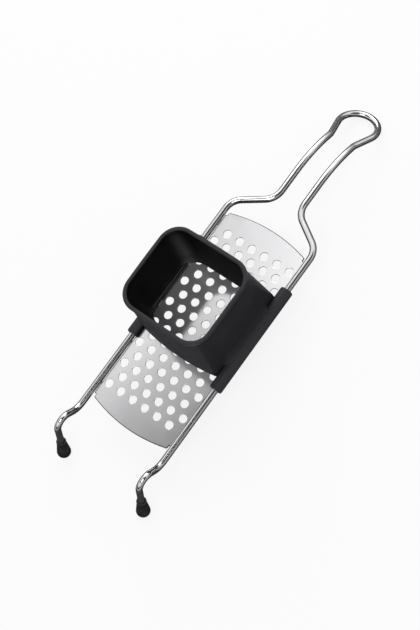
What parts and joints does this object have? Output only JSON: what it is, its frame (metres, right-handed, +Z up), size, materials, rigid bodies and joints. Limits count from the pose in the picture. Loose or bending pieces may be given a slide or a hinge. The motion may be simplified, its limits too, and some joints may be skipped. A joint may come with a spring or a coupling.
{
  "type": "spaetzle maker",
  "caption": "Spaetzle maker: perforated plate in a bent wire frame with pot hooks and a hanging handle, and a square hopper that slides on the rails",
  "frame": {"origin": "on the table, under the middle of the whole tool's bounding box", "axes": "+Z up, +Y towards the handle's hanging eye, +X to the right seen from the pot hooks looking to the handle"},
  "size_m": [0.1044, 0.4099, 0.1101],
  "materials": {
    "steel_wire": "polished stainless steel wire",
    "steel_sheet": "satin stainless steel sheet",
    "weld_steel": "bare weld metal, lightly heat tinted",
    "hopper_plastic": "satin black moulded plastic",
    "cap_rubber": "matte black rubber"
  },
  "bodies": {
    "frame": {"wire_frame": "steel_wire", "perforated_plate": "steel_sheet", "plate_welds": "weld_steel", "foot_cap_left": "cap_rubber", "foot_cap_right": "cap_rubber"},
    "slider": {"hopper": "hopper_plastic"}
  },
  "joints": [
    {"name": "hopper_slide", "type": "slide", "parent": "frame", "child": "slider", "axis": [0, 1, 0], "range_m": [-0.071, 0.031]}
  ]
}
